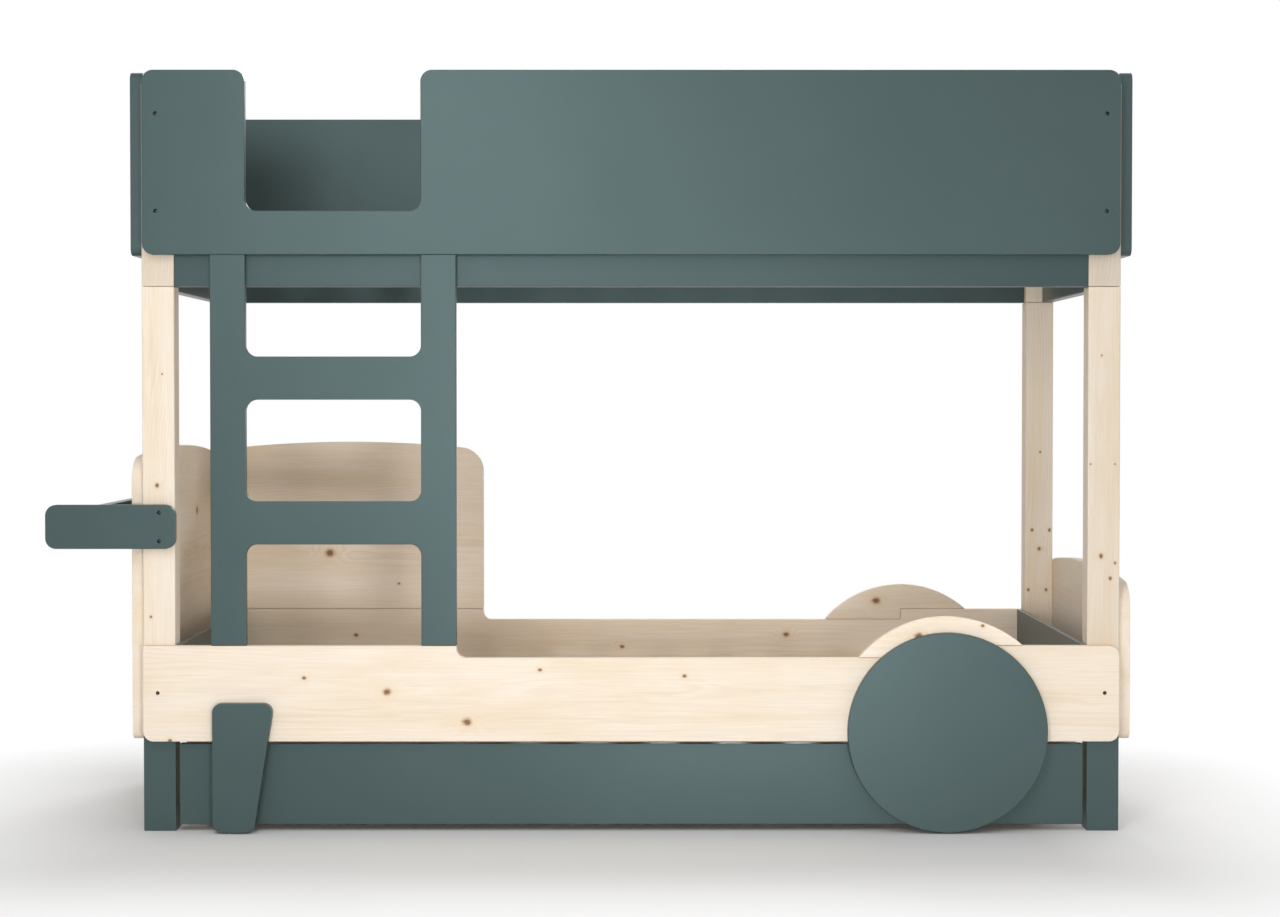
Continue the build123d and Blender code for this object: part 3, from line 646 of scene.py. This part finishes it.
def arch_outline(node):
    """Round top over the step in the rail, a hair clear of it."""
    (u0, v0, u1, v1), _ = sides(node, "y")
    low, high = v0 + SEAM, RAIL_HIGH_TOP + SEAM
    radius = v1 - WHEEL_Z
    start = asin((high - WHEEL_Z) / radius)
    end = pi - asin((low - WHEEL_Z) / radius)
    return [*arc((WHEEL_X, WHEEL_Z), radius, start, end - start),
            Vector((WHEEL_X - SEAM, low)), Vector((WHEEL_X - SEAM, high))]


def foot_outline():
    """Step-shaped foot, narrower below."""
    (u0, v0, u1, v1), _ = sides("step_foot", "y")
    return rounded([(u0, v0), (u0 + FOOT_BOTTOM, v0), (u1, v1), (u0, v1)], FOOT_CORNER)


# Painted boards. The rails and the inner end boards stand in the shade of others; that shade is painted on
# them as a darker copy of the paint.
PAINTED_SHADE_COAT = 0.74
THIN_EASE = 0.3 * PAINT_EASE
green = paint("grey_green_paint", 1.0)
painted_shade_green = paint("painted_shade_grey_green_paint", PAINTED_SHADE_COAT)


def painted(node, axis, outline=None, holes=(), material=green, ease=PAINT_EASE):
    """A painted board."""
    return board(node, axis, material, ease, outline, holes)


CORNERS = ("front_left", "front_right", "back_left", "back_right")
painted("upper_front_panel", "y", entry_panel())
painted("upper_back_panel", "y", oblong(*sides("upper_back_panel", "y")[0], GUARD_CORNER))
# The base rails and the inner end boards below take the darker copy of the paint, which is painted shade.
for side in ("left", "right"):
    painted(f"upper_end_panel_{side}", "x", oblong(*sides(f"upper_end_panel_{side}", "x")[0], END_CORNER))
    painted(f"base_rail_{side}", "x", material=painted_shade_green)
    painted(f"lower_end_board_{side}", "x", material=painted_shade_green, ease=THIN_EASE)
for side in ("front", "back"):
    painted(f"base_rail_{side}", "y", material=painted_shade_green)
    painted(f"shelf_bracket_{side}", "y", oblong(*sides(f"shelf_bracket_{side}", "y")[0], SHELF_CORNER))
ladder_loop, ladder_hole = ladder_outline(CORNER_SHARE * PAINT_EASE)
painted("ladder", "y", ladder_loop, [ladder_hole])
painted("shelf_board", "z")
painted("shelf_lip", "x")
painted("drawer_front", "y")
painted("wheel_disc", "y", circle(WHEEL_X, WHEEL_Z, DISC_HIGH.x - WHEEL_X))
painted("step_foot", "y", foot_outline())
board("pull_blocks", "y", green, PAINT_EASE, boxes=solids_of("pull_blocks"))
for corner in CORNERS:
    leg = f"leg_{corner}"
    painted(leg, "z", oblong(*sides(leg, "z")[0], POST_EASE))

# Pine boards, each with its own grain and knots: place along the grain, place across it and radius
MIDDLE_X = 88.5 * MM         # middle between the two ends, from the origin
SHIFTS = {"x": (MIDDLE_X, 0), "z": (0, MIDDLE_X), "y": (0, 0)}
KNOTS = {
    "lower_front_rail": [(-0.6987, 0.3313, 0.004), (-0.5216, 0.3013, 0.008), (-0.3509, 0.2371, 0.009),
                         (-0.1949, 0.3484, 0.004), (0.1137, 0.3355, 0.004), (-0.9853, 0.1975, 0.004)],
    "front_arch": [(0.6132, 0.4210, 0.008), (0.75, 0.443, 0.004)],
    "raised_back_panel": [(-0.7585, 0.5407, 0.011), (-0.5856, 0.4640, 0.003)],
    "lower_back_rail": [(-0.6938, 0.3344, 0.005), (0.3867, 0.3356, 0.007), (-0.0255, 0.3054, 0.005),
                        (0.16, 0.250, 0.009), (-0.88, 0.262, 0.008)],
    "back_arch": [(0.6127, 0.4209, 0.009)],
    "post_front_left": [(0.7418, -1.0149, 0.005), (0.4600, -1.0290, 0.003), (0.98, -1.003, 0.002)],
    "post_front_right": [(0.5906, 1.0062, 0.005), (0.5423, 1.0257, 0.004), (0.5756, 1.0363, 0.003),
                         (0.7877, 1.0353, 0.002), (0.7877, 0.9830, 0.002), (1.0200, 1.0060, 0.002)],
    "post_back_left": [(0.6400, -1.0050, 0.005), (0.9300, -1.0250, 0.004)],
    "post_back_right": [(0.7955, 1.0140, 0.003), (0.6014, 0.9948, 0.004), (0.6014, 1.0381, 0.004),
                        (0.5551, 1.0124, 0.005), (0.4527, 0.9860, 0.004), (0.4527, 1.0302, 0.004)],
    "upper_post_front_left": [(1.24, -1.02, 0.005)],
    "upper_post_back_right": [(1.36, 1.00, 0.006)],
    "headboard": [(0.20, 0.66, 0.011), (-0.24, 0.44, 0.008), (-0.38, 0.60, 0.006), (0.03, 0.30, 0.009)],
    "footboard": [(-0.16, 0.43, 0.010), (0.27, 0.30, 0.007), (-0.33, 0.26, 0.006)],
}


# Place of the heart of the tree from the middle of a board, across its face and behind it
PITH = (10 * MM, 90 * MM)
POST_PITH = (50 * MM, 60 * MM)
RAIL_PITH = {"front": (15 * MM, 100 * MM), "back": (15 * MM, -80 * MM)}
ARCH_PITH = {"front": (30 * MM, 100 * MM), "back": (30 * MM, -80 * MM)}
PANEL_PITH = (60 * MM, 130 * MM)
END_PITH = (-50 * MM, 120 * MM)
ARCH_EASE = 0.6 * PINE_EASE


def pine_board(node, axis, along, outline=None, ease=PINE_EASE, tone_and_painted_light=1.0, pith=PITH, boxes=None):
    """A pine board with its own figure."""
    low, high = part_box(node)
    shift_along, shift_across = SHIFTS[along]
    knots = [(a + shift_along, b + shift_across, size) for a, b, size in KNOTS.get(node, ())]
    through = "y" if along == "z" else axis
    material = pine(f"pine_{node}", along, through, (low + high) / 2, knots, pith, tone_and_painted_light)
    return board(node, axis, material, ease, outline, boxes=boxes)


# Painted shade and painted light on pine boards: the posts darker, most of all the upper posts under the
# guard panels and the right-hand posts, and the back boards and both arches lighter
POST_PAINTED_SHADE = {
    "post_front_left": 0.98,
    "post_front_right": 0.87,
    "post_back_left": 0.94,
    "post_back_right": 0.90,
    "upper_post_front_left": 0.84,
    "upper_post_front_right": 0.72,
    "upper_post_back_left": 0.88,
    "upper_post_back_right": 0.84,
}
BACK_AND_ARCH_PAINTED_LIGHT = 1.09
# Each post's pine is darkened by its painted shade.
for corner in CORNERS:
    for node in (f"post_{corner}", f"upper_post_{corner}"):
        low, high = solids_of(node)[0]
        if node.startswith("upper"):
            low = (low[0], low[1], low[2] + SEAM)
        pine_board(node, "z", "z", pith=POST_PITH, tone_and_painted_light=POST_PAINTED_SHADE[node], boxes=[(low, high)])
least = CORNER_SHARE * PINE_EASE
# The back rail, both arches and the raised back panel are lightened by painted light.
for side, tone_and_painted_light in (("front", 1.0), ("back", BACK_AND_ARCH_PAINTED_LIGHT)):
    rail, arch = f"lower_{side}_rail", f"{side}_arch"
    pine_board(rail, "y", "x", rail_outline(rail, least), pith=RAIL_PITH[side], tone_and_painted_light=tone_and_painted_light)
    pine_board(arch, "y", "x", arch_outline(arch), ease=ARCH_EASE, pith=ARCH_PITH[side], tone_and_painted_light=BACK_AND_ARCH_PAINTED_LIGHT)
    pine_board(f"ledger_{side}", "y", "x")
(u0, v0, u1, v1), _ = sides("raised_back_panel", "y")
pine_board("raised_back_panel", "y", "x", pith=PANEL_PITH, tone_and_painted_light=BACK_AND_ARCH_PAINTED_LIGHT,
           outline=crowned(u0, v0 + SEAM, u1, v1, PANEL_CROWN_RISE, CROWN_CORNER, least))
for node in ("headboard", "footboard"):
    pine_board(node, "x", "y", pith=END_PITH,
               outline=crowned(*sides(node, "x")[0], END_CROWN_RISE, CROWN_CORNER, END_CORNER))
for node in ("lower_slats", "upper_slats"):
    pine_board(node, "z", "y", ease=SLAT_EASE, boxes=solids_of(node))

# Drawer box of plywood
VENEER = 1.5 * MM
for node, axis, along in (("drawer_side_left", "x", "y"), ("drawer_side_right", "x", "y"),
                          ("drawer_back", "y", "x"), ("drawer_floor", "z", "x")):
    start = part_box(node)[0][AXES.index(axis)]
    board(node, axis, plywood(f"ply_{node}", axis, along, start, VENEER), PLY_EASE)


# Bolts with hexagon sockets, sunk in their bores
ZINC = (0.52, 0.52, 0.51, 1)
ZINC_ROUGHNESS = 0.34
DARK_STEEL = (0.060, 0.060, 0.062, 1)
DARK_STEEL_ROUGHNESS = 0.30
zinc = steel("zinc_steel", ZINC, ZINC_ROUGHNESS)
dark_steel = steel("dark_steel", DARK_STEEL, DARK_STEEL_ROUGHNESS)
RING = 24
BOLT_CHAMFER = 0.5 * MM
SOCKET_HALF = 2.1 * MM
SOCKET_DEPTH = 3.0 * MM


def ring_points(centre, axis, depth, radius_at):
    """Ring about an axis through a point, with a radius for each angle."""
    w = AXES.index(axis)
    u, v = FLAT[axis]
    points = []
    for k in range(RING):
        angle = 2 * pi * k / RING
        point = Vector(centre)
        point[u] += radius_at(angle) * cos(angle)
        point[v] += radius_at(angle) * sin(angle)
        point[w] = depth
        points.append(point)
    return points


def hexagon(half):
    """Radius of a hexagon at an angle."""
    return lambda angle: half / cos((angle + pi / 6) % (pi / 3) - pi / 6)


def even_radius(radius):
    """The same radius all round."""
    return lambda angle: radius


for group, boxes in BOLTS.items():
    mesh = bmesh.new()
    axis = BOLT_AXIS[group]
    w = AXES.index(axis)
    middle = (low_corner[w] + high_corner[w]) / 2
    for low, high in boxes:
        centre = (low + high) / 2
        outer, inner = (high[w], low[w]) if centre[w] > middle else (low[w], high[w])
        outward = 1 if outer > inner else -1
        radius = (high[2] - low[2]) / 2
        add_loft(mesh, [
            ring_points(centre, axis, inner, even_radius(radius)),
            ring_points(centre, axis, outer - outward * BOLT_CHAMFER, even_radius(radius)),
            ring_points(centre, axis, outer, even_radius(radius - BOLT_CHAMFER)),
            ring_points(centre, axis, outer, hexagon(SOCKET_HALF)),
            ring_points(centre, axis, outer - outward * SOCKET_DEPTH, hexagon(SOCKET_HALF)),
        ])
    make_piece(f"{group}_dress", mesh, dark_steel, FRAME_BODY, [group])

# Screws at the ends of the slats
SCREW_HEAD = 4.0 * MM
SCREW_RISE = 0.4 * MM
SCREW_SINK = 2.0 * MM
SCREW_INSET = 13 * MM
SCREW_SPREAD = 24 * MM
CROSS_HALF = 1.3 * MM
CROSS_SHARE = 0.55           # how far the arms of the cross stand out
CROWN_SHARE = 0.8            # flat top of the screw head


def cross_radius(angle):
    """Radius of a cross-shaped recess at an angle."""
    return CROSS_HALF * (1 + CROSS_SHARE * cos(4 * angle))


for node in ("lower_slats", "upper_slats"):
    mesh = bmesh.new()
    for low, high in solids_of(node):
        for y in (low.y + SCREW_INSET, high.y - SCREW_INSET):
            for x in ((low.x + high.x) / 2 - SCREW_SPREAD, (low.x + high.x) / 2 + SCREW_SPREAD):
                centre = Vector((x, y, high.z))
                add_loft(mesh, [
                    ring_points(centre, "z", high.z - SCREW_SINK, even_radius(SCREW_HEAD / 2)),
                    ring_points(centre, "z", high.z, even_radius(SCREW_HEAD)),
                    ring_points(centre, "z", high.z + SCREW_RISE, even_radius(CROWN_SHARE * SCREW_HEAD)),
                    ring_points(centre, "z", high.z + SCREW_RISE, cross_radius),
                    ring_points(centre, "z", high.z - SCREW_RISE, cross_radius),
                ])
    make_piece(f"{node}_screws", mesh, zinc, FRAME_BODY)

# Casters: a soft tread on a moulded hub
TREAD_GREY = (0.022, 0.022, 0.024, 1)
HUB_GREY = (0.16, 0.165, 0.17, 1)
tread = rubber("dark_tread", TREAD_GREY)
hub_grey = rubber("grey_hub", HUB_GREY)
HUB_RADIUS = 14 * MM
HUB_DISH = 3.5 * MM
HUB_BOSS = 8 * MM
BOSS_TAPER = 0.8 * MM
HUB_FACE = 0.5 * MM          # face of the hub below the side of the tread
HUB_RIM = 1 * MM             # rim of the hub below its face, and side of the tread above its seat
RIM_WIDTH = 1.6 * MM
WEB_EDGE = 3 * MM
RIM_PLAY = 0.1 * MM
AXLE_BORE = 4.08 * MM
BORE_PLAY = 0.1 * MM
BORE_FLARE = 0.4 * MM
TREAD_EASE = 4 * MM
TREAD_STEPS = 6
WHEEL_STEPS = 64


def add_revolve(mesh, centre, profile):
    """Closed profile of (offset along x, radius) turned about the x axis."""
    rings = []
    for k in range(WHEEL_STEPS):
        angle = 2 * pi * k / WHEEL_STEPS
        rings.append([centre + Vector((x, r * cos(angle), r * sin(angle))) for x, r in profile])
    add_loft(mesh, rings, closed=True)


for corner in CORNERS:
    low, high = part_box(f"caster_wheel_{corner}")
    centre, half, radius = (low + high) / 2, (high.x - low.x) / 2, (high.z - low.z) / 2
    turns = [pi / 2 * k / TREAD_STEPS for k in range(TREAD_STEPS + 1)]
    crown = [(half - TREAD_EASE + TREAD_EASE * sin(turn), radius - TREAD_EASE + TREAD_EASE * cos(turn))
             for turn in turns]
    seat = [(half - HUB_RIM, HUB_RADIUS), (HUB_RIM - half, HUB_RADIUS)]
    tread_profile = [(-x, r) for x, r in reversed(crown)] + crown + seat
    mesh = bmesh.new()
    add_revolve(mesh, centre, tread_profile)
    make_piece(f"caster_tread_{corner}", mesh, tread, f"caster_{corner}",
               [f"caster_wheel_{corner}"])
    face, dish = half - HUB_FACE, half - HUB_DISH
    outer_side = [
        (dish, AXLE_BORE + BORE_PLAY),
        (face, AXLE_BORE + BORE_FLARE),
        (face, HUB_BOSS - BOSS_TAPER),
        (dish, HUB_BOSS),
        (dish, HUB_RADIUS - WEB_EDGE),
        (face - HUB_RIM, HUB_RADIUS - RIM_WIDTH),
        (face - HUB_RIM, HUB_RADIUS - RIM_PLAY),
    ]
    mesh = bmesh.new()
    add_revolve(mesh, centre, outer_side + [(-x, r) for x, r in reversed(outer_side)])
    make_piece(f"caster_hub_{corner}", mesh, hub_grey, f"caster_{corner}")

# Materials for the nodes that keep their own shape
PEG_TONE = 0.8
beech = pine("beech_pegs", "z", "y", (0, 0, 0), (), PITH, PEG_TONE)
for node, material in (("stacking_pins", zinc), ("leg_dowels", beech), ("board_dowels", beech),
                       ("caster_brackets", zinc), ("caster_axles", zinc), ("pull_screws", zinc)):
    frame["nodes"][node].data.materials.clear()
    frame["nodes"][node].data.materials.append(material)

# Camera at the photographed viewing angle, with its sensor and lens in millimetres
SENSOR = 36
LENS = 70.15
CAMERA_PLACE = (0.1008, -5.79505, 0.9245)
CAMERA_DIP = 1.341           # degrees below level
CAMERA_TURN = 0.068          # degrees to the right
camera_data = bpy.data.cameras.new("camera")
camera_data.sensor_width = SENSOR
camera_data.lens = LENS
camera = bpy.data.objects.new("camera", camera_data)
camera.location = CAMERA_PLACE
camera.rotation_euler = (radians(90 - CAMERA_DIP), 0, radians(-CAMERA_TURN))
bpy.context.scene.collection.objects.link(camera)
bpy.context.scene.camera = camera


# Floor that fades to white away from the bed: middle and half sides of what stays as it is
WHITE = (1, 1, 1, 1)
FLOOR_GREY = (0.92, 0.92, 0.92, 1)
FLOOR_HALF = 40
FLOOR_MIDDLE = (0.0, -0.275, 0.0)
FLOOR_KEPT = (0.95, 0.575, 0.0)
FADE_END = 0.75


def make_floor():
    """Plain pale floor."""
    material, tree, shader = start_material("studio_floor", *FLOOR_GLOSS)
    shader.inputs["Base Color"].default_value = FLOOR_GREY
    local = vector_maths(tree, "SUBTRACT", place_of(tree), FLOOR_MIDDLE)
    past = vector_maths(tree, "SUBTRACT", vector_maths(tree, "ABSOLUTE", local), FLOOR_KEPT)
    past = vector_maths(tree, "MAXIMUM", past, (0, 0, 0))
    away = vector_maths(tree, "LENGTH", past, output="Value")
    fade = maths(tree, "MULTIPLY", span(tree, away, 0.0, FADE_END, kind="LINEAR"), seen_rays(tree))
    white = wire(tree, "ShaderNodeEmission", {"Color": WHITE, "Strength": 1.0}).outputs[0]
    mix = wire(tree, "ShaderNodeMixShader", {0: fade, 1: shader.outputs[0], 2: white}).outputs[0]
    tree.links.new(mix, tree.nodes["Material Output"].inputs["Surface"])
    mesh = bmesh.new()
    bmesh.ops.create_grid(mesh, x_segments=1, y_segments=1, size=FLOOR_HALF)
    data = bpy.data.meshes.new("floor")
    mesh.to_mesh(data)
    mesh.free()
    data.materials.append(material)
    floor = bpy.data.objects.new("floor", data)
    bpy.context.scene.collection.objects.link(floor)


make_floor()


# Light: a pale surround, brighter above, and five soft lamps
SKY_COLOUR = (1.0, 0.99, 0.98, 1)
SKY_LOW = 0.36
SKY_HIGH = 0.56

# Each lamp's place, the point that it faces, its width and height, and its watts
LAMPS = {
    "key": ((-0.6, -3.7, 3.6), (0.0, 0.0, 0.8), (1.2, 1.0), 29),
    "front": ((-0.65, -4.3, 1.95), (-0.1, 0.0, 0.9), (0.8, 0.6), 23),
    "middle": ((-0.60, -4.3, 0.80), (-0.3, 0.0, 0.8), (0.8, 0.6), 11),
    "low": ((0.48, -4.3, 0.38), (0.1, 0.0, 0.6), (0.5, 0.4), 43),
    "back": ((0.7, 4.3, 3.0), (0.0, 0.0, 0.8), (1.2, 1.0), 78),
}


def make_world():
    """Surround that lights the bed softly and shows white behind it."""
    world = bpy.data.worlds.new("surround")
    bpy.context.scene.world = world
    world.use_nodes = True
    tree = world.node_tree
    direction = wire(tree, "ShaderNodeTexCoord").outputs["Generated"]
    height = wire(tree, "ShaderNodeSeparateXYZ", {0: direction}).outputs[2]
    strength = span(tree, height, 0.0, 1.0, SKY_LOW, SKY_HIGH, "LINEAR")
    soft = wire(tree, "ShaderNodeBackground", {"Color": SKY_COLOUR, "Strength": strength}).outputs[0]
    white = tree.nodes["Background"]
    white.inputs["Color"].default_value = WHITE
    white.inputs["Strength"].default_value = 1.0
    mix = wire(tree, "ShaderNodeMixShader", {0: seen_rays(tree), 1: soft, 2: white.outputs[0]}).outputs[0]
    tree.links.new(mix, tree.nodes["World Output"].inputs["Surface"])


def make_lamp(name, place, aim, size, power):
    """Flat lamp that faces a point."""
    data = bpy.data.lights.new(name, "AREA")
    data.shape = "RECTANGLE"
    data.size, data.size_y = size
    data.energy = power
    lamp = bpy.data.objects.new(name, data)
    lamp.location = place
    lamp.rotation_euler = (Vector(aim) - Vector(place)).to_track_quat("-Z", "Y").to_euler()
    bpy.context.scene.collection.objects.link(lamp)


make_world()
for name, settings in LAMPS.items():
    make_lamp(name, *settings)
bpy.context.scene.view_settings.view_transform = "Standard"
